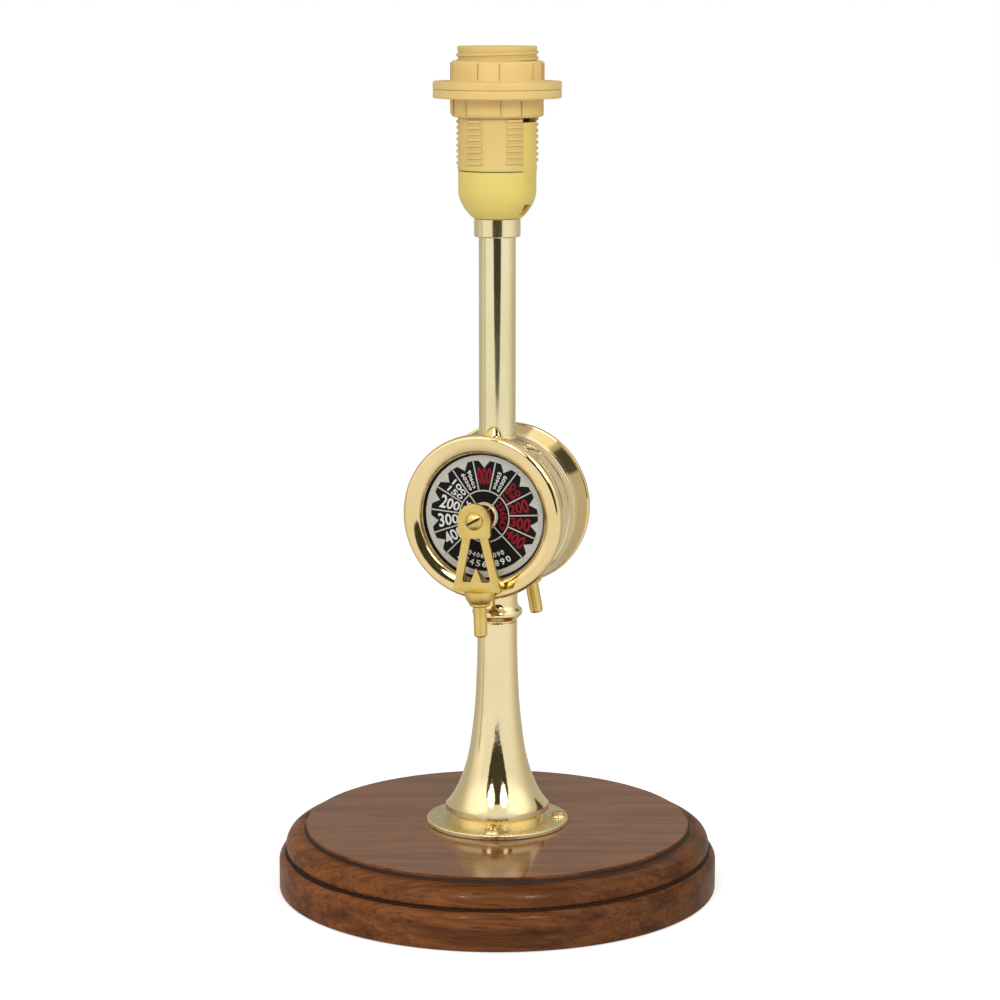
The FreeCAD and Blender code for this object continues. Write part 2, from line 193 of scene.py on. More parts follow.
def multiply(tree, a, b):
    return mathNode(tree, "MULTIPLY", a, b)


def mixValues(tree, factor, a, b):
    return addNode(tree, "ShaderNodeMix", {"Factor": factor, "A": a, "B": b}, data_type="FLOAT").outputs[0]


def mixColours(tree, blend, factor, a, b):
    made = addNode(tree, "ShaderNodeMix", {0: factor, 6: a, 7: b}, data_type="RGBA", blend_type=blend)
    return made.outputs[2]


def smoothStep(tree, value, low, high, fromValue=0.0, toValue=1.0):
    made = addNode(tree, "ShaderNodeMapRange", {"Value": value, "From Min": low, "From Max": high,
                                               "To Min": fromValue, "To Max": toValue},
                   interpolation_type="SMOOTHSTEP")
    return made.outputs[0]


def between(tree, value, riseStart, riseEnd, fallStart, fallEnd):
    # 0, then up to 1 over the first two values and down to 0 again over the last two
    up = smoothStep(tree, value, riseStart, riseEnd)
    down = smoothStep(tree, value, fallStart, fallEnd, 1.0, 0.0)
    return multiply(tree, up, down)


def turnedVector(tree, vector, degrees):
    return addNode(tree, "ShaderNodeVectorRotate", {"Vector": vector, "Angle": math.radians(degrees)},
                   rotation_type="Z_AXIS").outputs[0]


# the view: distances in mm, angles in degrees
cameraSettings = {
    "turn": 19.1,              # round the lamp, from the front face towards +X
    "distance": 984.7,         # level distance from the lamp's axis
    "height": 310.5,
    "pitch": 9.90,             # below level
    "lens": 103.12,
    "sensor": 36,
    "shift": 0.0027,
    "clip": (0.02, 20),        # nearest and farthest that is drawn, m
}

# the light tent round the lamp: distances in m, turns in degrees from the camera's side, rises above level
studioSettings = {
    "floorRadius": 2.5,
    "wallRadius": 2.475,
    "wallHeight": 2.0,
    "segments": 96,
    "floorColour": (0.84, 0.84, 0.84),
    "floorLift": 0.50,         # what the floor adds of its own where it is seen directly
    "ambient": 0.64,           # the tent's level for all but mirrors
    "lampDistance": 0.98,
    "lampTarget": 0.13,        # height that the lamps point at
    "lampTurn": 19.3,          # the two lamps stand this far either side of the view
    "lampRise": 33.5,
    "lampSize": (0.285, 0.50),
    "lampPower": 1.5,
    "coreSize": (0.05, 0.11),  # bright middle of each lamp
    "corePower": 0.5,
    "coreLead": 0.01,          # it stands this far in front of its lamp
    "gapDistance": 0.92,       # dark opening of the tent, behind the lamps
    # half-width and height of the opening's outline
    "gapOutline": ((0.12, 0.044), (0.22, 0.060), (0.35, 0.10), (0.43, 0.17), (0.50, 0.26), (0.56, 0.38),
                   (0.62, 0.52), (0.64, 0.66), (0.61, 0.80), (0.50, 0.94), (0.26, 1.06)),
    "gapColour": (0.055, 0.050, 0.026),
    # the tent as mirrors see it: a change runs over two angles, and four are a rise and a fall
    "rearTurn": (60, 130),
    "rearLevel": 0.56,
    "sheetTurn": (26, 40, 78, 112),    # brighter sheets beside the lamps
    "sheetRise": (12, 32, 52, 66),
    "sheetLevel": 0.55,                # what they add
    # patches: left, right, low and high edge, softness, change of level
    "patches": ((118.0, 133.0, 20.0, 37.0, 3.0, -0.85), (142.0, 163.0, 36.0, 46.0, 5.0, 1.2),
                (-86.0, -80.0, -14.0, -1.0, 1.5, -0.40), (-100.0, -62.0, 2.0, 20.0, 8.0, 0.15)),
    "bandTurn": (164, 172),            # darker low band behind, which the foot's top mirrors
    "bandRise": (3, 7, 22, 30),
    "bandLevel": 0.54,
    "belowRise": (-75, -25),
    "belowLevel": 0.5,
    "warmTurn": (45, 100),             # the tent turns warmer towards its sides and back
    "warmSide": (1.0, 0.97, 0.86),
}


def turnedPoint(distance, turn, height):
    # a point round the lamp, its turn counted from the camera's own direction
    a = math.radians(cameraSettings["turn"] + turn)
    return Vector((distance * math.sin(a), -distance * math.cos(a), height))


def makeCamera(s):
    data = bpy.data.cameras.new("camera")
    data.lens = s["lens"]
    data.sensor_width = s["sensor"]
    data.shift_x = s["shift"]
    data.clip_start, data.clip_end = s["clip"]
    camera = addObject("camera", data)
    camera.location = turnedPoint(s["distance"] * mm, 0, s["height"] * mm)
    camera.rotation_euler = (math.radians(90 - s["pitch"]), 0, math.radians(s["turn"]))
    bpy.context.scene.camera = camera


def tentLevel(tree, side, away, rise, s):
    # how bright the tent is, by degrees to the right of the camera's side, away from it and above level

    def changed(level, where, change):
        return multiply(tree, level, mathNode(tree, "ADD", multiply(tree, where, change), 1.0))

    level = smoothStep(tree, away, *s["rearTurn"], 1.0, s["rearLevel"])
    sheets = multiply(tree, between(tree, rise, *s["sheetRise"]), between(tree, away, *s["sheetTurn"]))
    level = mathNode(tree, "ADD", level, multiply(tree, sheets, s["sheetLevel"]))
    for left, right, low, high, soft, change in s["patches"]:
        across = between(tree, side, left - soft, left, right, right + soft)
        upright = between(tree, rise, low - soft, low, high, high + soft)
        level = changed(level, multiply(tree, across, upright), change)
    band = multiply(tree, smoothStep(tree, away, *s["bandTurn"]), between(tree, rise, *s["bandRise"]))
    level = changed(level, band, s["bandLevel"] - 1)
    return multiply(tree, level, smoothStep(tree, rise, *s["belowRise"], s["belowLevel"], 1.0))


def makeWorld(s):
    world = bpy.data.worlds.new("lightTent")
    bpy.context.scene.world = world
    tree = emptyTree(world)
    direction = addNode(tree, "ShaderNodeTexCoord").outputs["Generated"]
    turned = turnedVector(tree, direction, -cameraSettings["turn"])
    x, y, z = addNode(tree, "ShaderNodeSeparateXYZ", {0: turned}).outputs
    side = multiply(tree, mathNode(tree, "ARCTAN2", x, multiply(tree, y, -1.0)), 180 / math.pi)
    away = mathNode(tree, "ABSOLUTE", side)
    rise = multiply(tree, mathNode(tree, "ARCSINE", z), 180 / math.pi)
    seen = addNode(tree, "ShaderNodeLightPath").outputs
    mirrored = mathNode(tree, "MAXIMUM", seen["Is Glossy Ray"], seen["Is Transmission Ray"])
    strength = mixValues(tree, mirrored, s["ambient"], tentLevel(tree, side, away, rise, s))
    strength = mixValues(tree, seen["Is Camera Ray"], strength, 1.0)
    warmth = multiply(tree, mirrored, smoothStep(tree, away, *s["warmTurn"]))
    colour = mixColours(tree, "MIX", warmth, (1, 1, 1, 1), (*s["warmSide"], 1))
    back = addNode(tree, "ShaderNodeBackground", {"Color": colour, "Strength": strength})
    addNode(tree, "ShaderNodeOutputWorld", {"Surface": back.outputs[0]})


def floorMaterial(s):
    material = bpy.data.materials.new("paleFloor")
    tree = emptyTree(material)
    seen = addNode(tree, "ShaderNodeLightPath").outputs["Is Camera Ray"]
    diffuse = addNode(tree, "ShaderNodeBsdfDiffuse", {"Color": (*s["floorColour"], 1)})
    glow = multiply(tree, seen, s["floorLift"])
    lift = addNode(tree, "ShaderNodeEmission", {"Color": (1, 1, 1, 1), "Strength": glow})
    both = addNode(tree, "ShaderNodeAddShader", {0: diffuse.outputs[0], 1: lift.outputs[0]})
    addNode(tree, "ShaderNodeOutputMaterial", {"Surface": both.outputs[0]})
    return material


def wallMaterial():
    material = bpy.data.materials.new("paleWall")
    tree = emptyTree(material)
    white = addNode(tree, "ShaderNodeEmission", {"Color": (1, 1, 1, 1), "Strength": 1.0})
    addNode(tree, "ShaderNodeOutputMaterial", {"Surface": white.outputs[0]})
    return material


def gapMaterial(s):
    material = bpy.data.materials.new("darkGap")
    tree = emptyTree(material)
    dark = addNode(tree, "ShaderNodeBsdfPrincipled", {"Base Color": (*s["gapColour"], 1), "Roughness": 1.0})
    addNode(tree, "ShaderNodeOutputMaterial", {"Surface": dark.outputs[0]})
    return material


def makeStage(s):
    bm = bmesh.new()
    bmesh.ops.create_circle(bm, cap_ends=True, segments=s["segments"], radius=s["floorRadius"])
    floor = finishMesh(bm, "floor", [floorMaterial(s)], smooth=False)
    bm = bmesh.new()
    bmesh.ops.create_circle(bm, segments=s["segments"], radius=s["wallRadius"])
    liftNew(bm, bmesh.ops.extrude_edge_only(bm, edges=bm.edges[:]), s["wallHeight"])
    wall = finishMesh(bm, "backdrop", [wallMaterial()], smooth=False)
    wall.visible_diffuse = wall.visible_shadow = False
    floor.visible_glossy = wall.visible_glossy = False

    # the opening is a flat card on the camera's side, that only mirrors see
    bm = bmesh.new()
    outline = [(-w, h) for w, h in reversed(s["gapOutline"])] + list(s["gapOutline"])
    bm.faces.new([bm.verts.new((x, -s["gapDistance"], z)) for x, z in outline])
    turnVerts(bm, bm.verts, cameraSettings["turn"])
    gap = finishMesh(bm, "gap_in_tent", [gapMaterial(s)], smooth=False)
    gap.visible_camera = gap.visible_diffuse = gap.visible_shadow = False


def makeLamp(name, turn, size, power, distance, s):
    data = bpy.data.lights.new(name, "AREA")
    data.shape = "ELLIPSE"
    data.size, data.size_y = size
    data.energy = power
    lamp = addObject(name, data)
    target = Vector((0, 0, s["lampTarget"]))
    a = math.radians(s["lampRise"])
    lamp.location = target + turnedPoint(distance * math.cos(a), turn, distance * math.sin(a))
    lamp.rotation_euler = (target - lamp.location).to_track_quat("-Z", "Y").to_euler()


def makeLamps(s):
    for side, turn in (("left", -s["lampTurn"]), ("right", s["lampTurn"])):
        makeLamp("lamp_" + side, turn, s["lampSize"], s["lampPower"], s["lampDistance"], s)
        makeLamp("core_" + side, turn, s["coreSize"], s["corePower"], s["lampDistance"] - s["coreLead"], s)


makeCamera(cameraSettings)
makeWorld(studioSettings)
makeStage(studioSettings)
makeLamps(studioSettings)
print("camera, light tent and stage ready")


def startMaterial(name):
    material = bpy.data.materials.new(name)
    tree = emptyTree(material)
    shader = addNode(tree, "ShaderNodeBsdfPrincipled")
    addNode(tree, "ShaderNodeOutputMaterial", {"Surface": shader.outputs[0]})
    coords = addNode(tree, "ShaderNodeTexCoord").outputs["Object"]
    return material, tree, shader, coords


def noiseNode(tree, coords, noise, stretch=(1, 1, 1), distortion=0.0):
    scale, detail, roughness = noise
    mapped = addNode(tree, "ShaderNodeMapping", {"Vector": coords, "Scale": stretch}).outputs[0]
    made = addNode(tree, "ShaderNodeTexNoise", {"Vector": mapped, "Scale": scale, "Detail": detail,
                                                "Roughness": roughness, "Distortion": distortion})
    return made.outputs["Fac"]


def ramp(tree, value, *stops):
    made = addNode(tree, "ShaderNodeValToRGB", {"Fac": value})
    band = made.color_ramp
    while len(band.elements) < len(stops):
        band.elements.new(0.5)
    for element, (at, colour) in zip(band.elements, stops):
        element.position = at
        element.color = (*colour, 1)
    return made.outputs["Color"]


def bumpNode(tree, height, strength, distance, below=None):
    inputs = {"Height": height, "Strength": strength, "Distance": distance}
    if below is not None:
        inputs["Normal"] = below
    return addNode(tree, "ShaderNodeBump", inputs).outputs[0]


# in each finish a noise is scale, detail and roughness, its limits are where it starts and ends to act,
# and a bump is strength and depth in m
brassSettings = {
    "tone": (38, 4, 0.55),             # slow changes from deep to pale
    "toneLimits": (0.34, 0.64),
    "line": (900, 4, 0.6),             # polishing lines
    "lineLimits": (0.35, 0.75),
    "lineDepth": 0.00004,
    "roughShares": (0.75, 1.5),        # least and most roughness, as shares of the finish's own
    "hill": (70, 1, 0.5),              # faint unevenness of the surface
    "hillBump": (0.05, 0.0006),
}


def brassMaterial(name, pale, deep, rough, stretch=(1, 1, 1), lineStrength=0.05, s=brassSettings):
    # lacquered brass
    material, tree, shader, coords = startMaterial(name)
    deepAt, paleAt = s["toneLimits"]
    least, most = s["roughShares"]
    tone = noiseNode(tree, coords, s["tone"])
    line = noiseNode(tree, coords, s["line"], stretch)
    hill = bumpNode(tree, noiseNode(tree, coords, s["hill"]), *s["hillBump"])
    fillInputs(tree, shader, {
        "Metallic": 1.0,
        "Base Color": ramp(tree, tone, (deepAt, deep), (paleAt, pale)),
        "Roughness": smoothStep(tree, line, *s["lineLimits"], rough * least, rough * most),
        "Normal": bumpNode(tree, line, lineStrength, s["lineDepth"], hill),
    })
    return material


castSettings = {
    "tone": (120, 5, 0.6),
    "toneLimits": (0.30, 0.62),
    "brush": (1600, 4, 0.6),
    "brushStretch": (1, 1, 0.06),      # the strokes run upright
    "brushLimits": (0.3, 0.7),
    "brushBump": (0.10, 0.00005),
    "roughness": (0.26, 0.42),
    "pit": (1400, 3, 0.5),
    "pitBump": (0.10, 0.00008),
}


def castMaterial(name, pale, deep, s=castSettings):
    # satin cast brass, brushed and pitted a little
    material, tree, shader, coords = startMaterial(name)
    deepAt, paleAt = s["toneLimits"]
    tone = noiseNode(tree, coords, s["tone"])
    brush = noiseNode(tree, coords, s["brush"], s["brushStretch"])
    pit = bumpNode(tree, noiseNode(tree, coords, s["pit"]), *s["pitBump"])
    fillInputs(tree, shader, {
        "Metallic": 1.0,
        "Base Color": ramp(tree, tone, (deepAt, deep), (paleAt, pale)),
        "Roughness": smoothStep(tree, brush, *s["brushLimits"], *s["roughness"]),
        "Normal": bumpNode(tree, brush, *s["brushBump"], pit),
    })
    return material


# the board that the foot is turned from: a noise here also has its stretch along, across and up the board
woodSettings = {
    "grainTurn": -19.1,                # the grain runs along the view's left and right
    "drift": ((11, 3, 0.5), (0.3, 1, 1)),
    "driftAcross": 0.030,              # how far the figure wanders, m
    "driftUp": 0.022,
    "broad": ((110, 4, 0.6), (0.07, 1, 1.5)),
    "broadStops": (0.30, 0.45, 0.57, 0.72),
    "fibre": ((700, 5, 0.7), (0.04, 1, 1.2)),
    "streaks": ((0.32, (0.62, 0.58, 0.56)), (0.50, (1.0, 1.0, 1.0)), (0.70, (1.38, 1.33, 1.26))),
    "fibreLimits": (0.3, 0.7),
    "fibreBump": (0.08, 0.00008),
    "roughness": (0.36, 0.52),
    "pore": ((1300, 2, 0.5), (0.06, 1, 1.0)),
    "poreLimits": (0.60, 0.70),
    "poreShare": 0.6,                  # how far a pore takes its own colour
    "poreBump": (-0.12, 0.00008),
    "paintedSideLightEnds": (-0.075, 0.050),       # the painted side light changes between these, from left to right, m
    "gloss": 0.05,
}

# the top disc's copy of the wood: lighter colours than the edge's, painted light, as if lit from above
woodPaintedLitTopSettings = {
    "dark": (0.142, 0.044, 0.012),
    "middle": (0.192, 0.060, 0.014),
    "light": (0.246, 0.081, 0.019),
    "pore": (0.075, 0.023, 0.008),
    "paintedSideLight": (1.0, 1.0),               # painted side light, as a share of the colour, at the left and right end of the foot; none on the top
    "coat": 1.0,
    "coatRoughness": 0.085,
}

# the turned edge's copy of the wood: darker colours than the top's, painted shade
woodPaintedShadedSideSettings = {
    "dark": (0.062, 0.017, 0.004),
    "middle": (0.116, 0.035, 0.008),
    "light": (0.174, 0.058, 0.014),
    "pore": (0.034, 0.010, 0.003),
    # painted light: the left end of the edge lighter and the right end darker, as if lit more from the left
    "paintedSideLight": (1.45, 0.85),
    "coat": 0.18,
    "coatRoughness": 0.075,
}


def woodMaterial(name, shade, s=woodSettings):
    # lacquered hardwood
    material, tree, shader, coords = startMaterial(name)
    turned = turnedVector(tree, coords, s["grainTurn"])
    drift = noiseNode(tree, turned, *s["drift"])
    shift = addNode(tree, "ShaderNodeCombineXYZ", {"Y": multiply(tree, drift, s["driftAcross"]),
                                                   "Z": multiply(tree, drift, s["driftUp"])}).outputs[0]
    bent = addNode(tree, "ShaderNodeVectorMath", {0: turned, 1: shift}, operation="ADD").outputs[0]
    broad = noiseNode(tree, bent, *s["broad"])
    fibre = noiseNode(tree, bent, *s["fibre"])
    pores = smoothStep(tree, noiseNode(tree, bent, *s["pore"]), *s["poreLimits"])
    shades = [shade[key] for key in ("dark", "middle", "light", "middle")]
    figure = ramp(tree, broad, *zip(s["broadStops"], shades))
    colour = mixColours(tree, "MULTIPLY", 1.0, figure, ramp(tree, fibre, *s["streaks"]))
    colour = mixColours(tree, "MIX", multiply(tree, pores, s["poreShare"]), colour, (*shade["pore"], 1))
    # painted light: the colour is scaled from one share at the left to another at the right, as if lit more
    # from one side
    across = addNode(tree, "ShaderNodeSeparateXYZ", {0: turned}).outputs["X"]
    tone = smoothStep(tree, across, *s["paintedSideLightEnds"], *shade["paintedSideLight"])
    paintedSideLight = addNode(tree, "ShaderNodeCombineXYZ", {"X": tone, "Y": tone, "Z": tone}).outputs[0]
    fillInputs(tree, shader, {
        "Base Color": mixColours(tree, "MULTIPLY", 1.0, colour, paintedSideLight),
        "Roughness": smoothStep(tree, fibre, *s["fibreLimits"], *s["roughness"]),
        "Specular IOR Level": s["gloss"],
        "Coat Weight": shade["coat"],
        "Coat Roughness": shade["coatRoughness"],
        "Normal": bumpNode(tree, fibre, *s["fibreBump"], bumpNode(tree, pores, *s["poreBump"])),
    })
    return material


plasticSettings = {
    "tone": (60, 3, 0.5),
    "toneLimits": (0.32, 0.66),
    "grain": (1500, 3, 0.5),
    "grainLimits": (0.3, 0.7),
    "grainBump": (0.05, 0.00006),
    "roughSpread": (-0.06, 0.08),      # least and most roughness, from the finish's own
    "glow": 0.12,                      # share of the light that passes under the surface
    "glowDepth": 0.002,
    "glowTint": (1.0, 0.6, 0.3),
}


def plasticMaterial(name, colour, shade, rough, s=plasticSettings):
    material, tree, shader, coords = startMaterial(name)
    shadeAt, colourAt = s["toneLimits"]
    least, most = s["roughSpread"]
    tone = noiseNode(tree, coords, s["tone"])
    grain = noiseNode(tree, coords, s["grain"])
    fillInputs(tree, shader, {
        "Base Color": ramp(tree, tone, (shadeAt, shade), (colourAt, colour)),
        "Roughness": smoothStep(tree, grain, *s["grainLimits"], rough + least, rough + most),
        "Normal": bumpNode(tree, grain, *s["grainBump"]),
        "Subsurface Weight": s["glow"],
        "Subsurface Scale": s["glowDepth"],
        "Subsurface Radius": s["glowTint"],
    })
    return material


printSettings = {
    "speckle": (2600, 3, 0.7),
    "toneLimits": (0.35, 0.65),
    "roughLimits": (0.3, 0.7),
    "roughSpread": (-0.05, 0.08),
}


def printMaterial(name, colour, rough, grain=0.10, gloss=0.25, s=printSettings):
    # flat paint or ink, or a dark colour for painted shade, speckled by grain as a share of its colour
    material, tree, shader, coords = startMaterial(name)
    lowAt, highAt = s["toneLimits"]
    least, most = s["roughSpread"]
    speckle = noiseNode(tree, coords, s["speckle"])
    low = tuple(c * (1 - grain * 2) for c in colour)
    high = tuple(c * (1 + grain) for c in colour)
    fillInputs(tree, shader, {
        "Base Color": ramp(tree, speckle, (lowAt, low), (highAt, high)),
        "Roughness": smoothStep(tree, speckle, *s["roughLimits"], rough + least, rough + most),
        "Specular IOR Level": gloss,
    })
    return material


zincSettings = {
    "cellScale": 420.0,
    "dark": (0.0, (0.42, 0.43, 0.45)),
    "pale": (0.8, (0.60, 0.61, 0.63)),
    "fine": (1200, 3, 0.5),
    "fineLimits": (0.3, 0.7),
    "roughness": (0.30, 0.48),
}


def zincMaterial(s=zincSettings):
    material, tree, shader, coords = startMaterial("zincSteel")
    cells = addNode(tree, "ShaderNodeTexVoronoi", {"Vector": coords, "Scale": s["cellScale"]})
    fine = noiseNode(tree, coords, s["fine"])
    fillInputs(tree, shader, {
        "Metallic": 1.0,
        "Base Color": ramp(tree, cells.outputs["Distance"], s["dark"], s["pale"]),
        "Roughness": smoothStep(tree, fine, *s["fineLimits"], *s["roughness"]),
    })
    return material


feltSettings = {
    "fuzz": (2200, 5, 0.7),
    "twist": 1.2,
    "dark": (0.3, (0.010, 0.030, 0.016)),
    "pale": (0.7, (0.030, 0.085, 0.045)),
    "fuzzBump": (0.5, 0.0003),
    "roughness": 0.95,
    "sheen": 0.5,
}


def feltMaterial(s=feltSettings):
    material, tree, shader, coords = startMaterial("greenFelt")
    fuzz = noiseNode(tree, coords, s["fuzz"], distortion=s["twist"])
    fillInputs(tree, shader, {
        "Base Color": ramp(tree, fuzz, s["dark"], s["pale"]),
        "Roughness": s["roughness"],
        "Sheen Weight": s["sheen"],
        "Normal": bumpNode(tree, fuzz, *s["fuzzBump"]),
    })
    return material


# each brass: pale and deep tone, roughness, then the stretch and strength of its lines
polishedBrass = brassMaterial("polishedBrass", (0.82, 0.65, 0.35), (0.76, 0.58, 0.27), 0.075)
drumBrass = brassMaterial("drumBrass", (0.95, 0.79, 0.50), (0.88, 0.70, 0.38), 0.13)
paleBrass = brassMaterial("paleBrass", (0.84, 0.71, 0.43), (0.79, 0.65, 0.37), 0.085)
tubeBrass = brassMaterial("tubeBrass", (0.84, 0.76, 0.48), (0.76, 0.67, 0.40), 0.11, (1, 1, 0.03), 0.06)
satinBrass = brassMaterial("satinBrass", (0.90, 0.79, 0.49), (0.84, 0.72, 0.42), 0.34, (1, 1, 1), 0.02)
collarBrass = brassMaterial("collarBrass", (0.84, 0.74, 0.46), (0.78, 0.66, 0.38), 0.14, (1, 1, 6), 0.04)
contactBrass = brassMaterial("contactBrass", (0.82, 0.62, 0.30), (0.72, 0.50, 0.22), 0.20)
castBrass = castMaterial("castBrass", (0.77, 0.57, 0.19), (0.66, 0.47, 0.14))
# the top and the turned edge take a lit and a shaded copy of one wood: painted light and painted shade
woodPaintedLitTop = woodMaterial("woodPaintedLitTop", woodPaintedLitTopSettings)
woodPaintedShadedSide = woodMaterial("woodPaintedShadedSide", woodPaintedShadedSideSettings)
# each plastic: colour, its shade, roughness
creamPlastic = plasticMaterial("creamPlastic", (0.73, 0.53, 0.175), (0.69, 0.49, 0.155), 0.42)
ringPlastic = plasticMaterial("ringPlastic", (0.80, 0.56, 0.20), (0.76, 0.52, 0.175), 0.42)
# dark plastic for the strips at the grip panel edges: painted shadow
ringPaintedShadow = plasticMaterial("ringPaintedShadow", (0.50, 0.30, 0.075), (0.46, 0.27, 0.06), 0.6)
yellowPlastic = plasticMaterial("yellowPlastic", (0.78, 0.62, 0.155), (0.74, 0.58, 0.140), 0.40)
whiteCeramic = plasticMaterial("whiteCeramic", (0.80, 0.78, 0.72), (0.74, 0.72, 0.66), 0.35)
# each print or painted shade: colour, roughness, grain, gloss
# dark colour for the foot's grooves: painted shade
paintedGrooveShade = printMaterial("paintedGrooveShade", (0.032, 0.010, 0.004), 0.6)
dialBlack = printMaterial("dialBlack", (0.009, 0.009, 0.008), 0.40, 0.25, 0.08)
dialSilver = printMaterial("dialSilver", (0.53, 0.52, 0.46), 0.45)
dialWhite = printMaterial("dialWhite", (0.74, 0.74, 0.71), 0.45)
dialRed = printMaterial("dialRed", (0.30, 0.010, 0.022), 0.45, 0.10, 0.1)
# dark colour for the inside of screw slots: painted shade
slotPaintedShade = printMaterial("slotPaintedShade", (0.13, 0.085, 0.025), 0.6)
zincSteel = zincMaterial()
greenFelt = feltMaterial()
print("materials ready")

nodeFinish = {
    "wood_base": woodPaintedShadedSide,
    "felt_pad": greenFelt,
    "foot_flange": satinBrass, "flange_screws": castBrass,
    "foot_washer": zincSteel, "foot_nut": zincSteel, "foot_pipe": zincSteel,
    "pedestal_column": paleBrass, "neck_collar": paleBrass,
    "drum_body": drumBrass, "drum_plug": drumBrass, "drum_nut": zincSteel,
    "front_bezel": polishedBrass, "rear_bezel": polishedBrass,
    "front_dial": dialBlack, "rear_dial": dialBlack,
    "front_boss": polishedBrass, "rear_boss": polishedBrass,
    "front_boss_nut": zincSteel, "rear_boss_nut": zincSteel,
    "front_washer": castBrass, "rear_washer": castBrass,
    "front_hub_screw": castBrass, "rear_hub_screw": castBrass,
    "front_handle": castBrass, "rear_handle": castBrass,
    "front_grip": castBrass, "rear_grip": castBrass,
    "stem_tube": tubeBrass, "stem_pipe": zincSteel, "stem_nut": zincSteel,
    "stem_collar": collarBrass,
    "holder_cap": yellowPlastic, "holder_barrel": creamPlastic,
    "contact_carrier": whiteCeramic, "terminal_screws": zincSteel,
    "screw_shell": contactBrass, "centre_contact": contactBrass,
    "shade_ring_lower": ringPlastic, "shade_ring_upper": ringPlastic,
}
for name, material in nodeFinish.items():
    for slot in nodes[name].material_slots:
        slot.material = material
print("frame nodes finished")


# the printed faces, in mm and degrees
dialSettings = {
    "plane": 13.7,             # the printed face stands this far from the drum's middle
    "printHeight": 0.03,
    "ringOuter": 21.35,
    "ringSteps": 720,
    "toothTop": 19.5,
    "notch": 16.9,
    "toothHalf": 6.0,          # a tooth runs on this far from its line
    "bottomInner": 19.2,
    "endSlack": 0.1,           # the toothed part ends this far past its last line
    "sectorTurn": 24.5,
    "sectors": 11,
    "lineWidth": 0.46,
    "lineOverlap": 0.3,        # a spoke runs this far into its tooth
    "innerCircle": 9.0,
    "hubCircle": 4.75,
    "circleSteps": 128,
    "hubLines": (-1.5, 1.5, -5.5, 5.5),        # sectors from the top where a line runs on to the hub
    "numberWeight": 0.02,
    "numberSteps": 3,
    "numberGap": 1e-5,         # as doublesGap, before the number gets its size
    # rows along the spokes: sector from the top, number, middle radius, length, height, shift to the top
    "spokeRows": ((5, "400", 13.2, 7.4, 4.0, 0), (4, "300", 13.2, 7.4, 4.0, 0), (3, "200", 13.0, 7.2, 4.0, 0),
                  (2, "100", 13.0, 6.2, 1.9, 1.2), (2, "150", 12.9, 6.0, 1.9, -1.2),
                  (1, "90603", 13.4, 6.4, 1.25, 1.0), (1, "60309", 13.2, 6.4, 1.25, -1.0)),
    # the number at the top: digits, radius, width, height
    "topNumber": ("000", 14.1, 4.8, 5.9),
    # rows round the middle: digits, first angle, turn between digits, radius, width, height
    "redRow": ("234567", 51.0, 13.6, 6.95, 1.45, 2.3),
    "whiteRow": ("65432", 54.0, 17.0, 6.95, 1.45, 2.3),
    # rows at the foot: digits, turn between digits, radius, width, height
    "footRows": (("20406 8090", 6.3, 13.9, 1.15, 1.65), ("234567890", 7.85, 16.8, 1.6, 2.25)),
}
silver, white, red = range(3)  # places in a dial print's list of materials


def ringBoundary(angle, s):
    # radius of the silver ring's inner edge, by the angle clockwise from the top
    reach = s["sectorTurn"] * s["sectors"] / 2
    if abs(angle) > reach + s["endSlack"]:
        return s["bottomInner"]
    into = (angle + reach) % s["sectorTurn"]
    fromLine = min(into, s["sectorTurn"] - into)
    if fromLine <= s["toothHalf"]:
        return s["toothTop"]
    t = (fromLine - s["toothHalf"]) / (s["sectorTurn"] / 2 - s["toothHalf"])
    return s["toothTop"] + (s["notch"] - s["toothTop"]) * t


def silverRing(s):
    bm = bmesh.new()
    steps = s["ringSteps"]
    bmesh.ops.create_circle(bm, segments=steps, radius=s["ringOuter"] * mm)
    inner = bmesh.ops.create_circle(bm, segments=steps, radius=s["notch"] * mm)["verts"]
    turnVerts(bm, bm.verts, 180 / steps)
    for vert in inner:
        angle = math.degrees(math.atan2(vert.co.x, vert.co.y))
        vert.co = vert.co.normalized() * ringBoundary(angle, s) * mm
    bmesh.ops.bridge_loops(bm, edges=bm.edges[:])
    liftNew(bm, bmesh.ops.extrude_face_region(bm, geom=bm.faces[:]), s["printHeight"] * mm)
    return bm


def thinRing(radius, s):
    bm = bmesh.new()
    a, b = radius - s["lineWidth"] / 2, radius + s["lineWidth"] / 2
    spinProfile(bm, [(a, 0), (b, 0), (b, s["printHeight"]), (a, s["printHeight"])], s["circleSteps"])
    return bm


def thinLine(angle, start, end, s):
    # along the spoke at an angle clockwise from the top, between two radii
    size = (s["lineWidth"], end - start, s["printHeight"])
    return turnedBar(size, (0, (start + end) / 2, s["printHeight"] / 2), -angle)


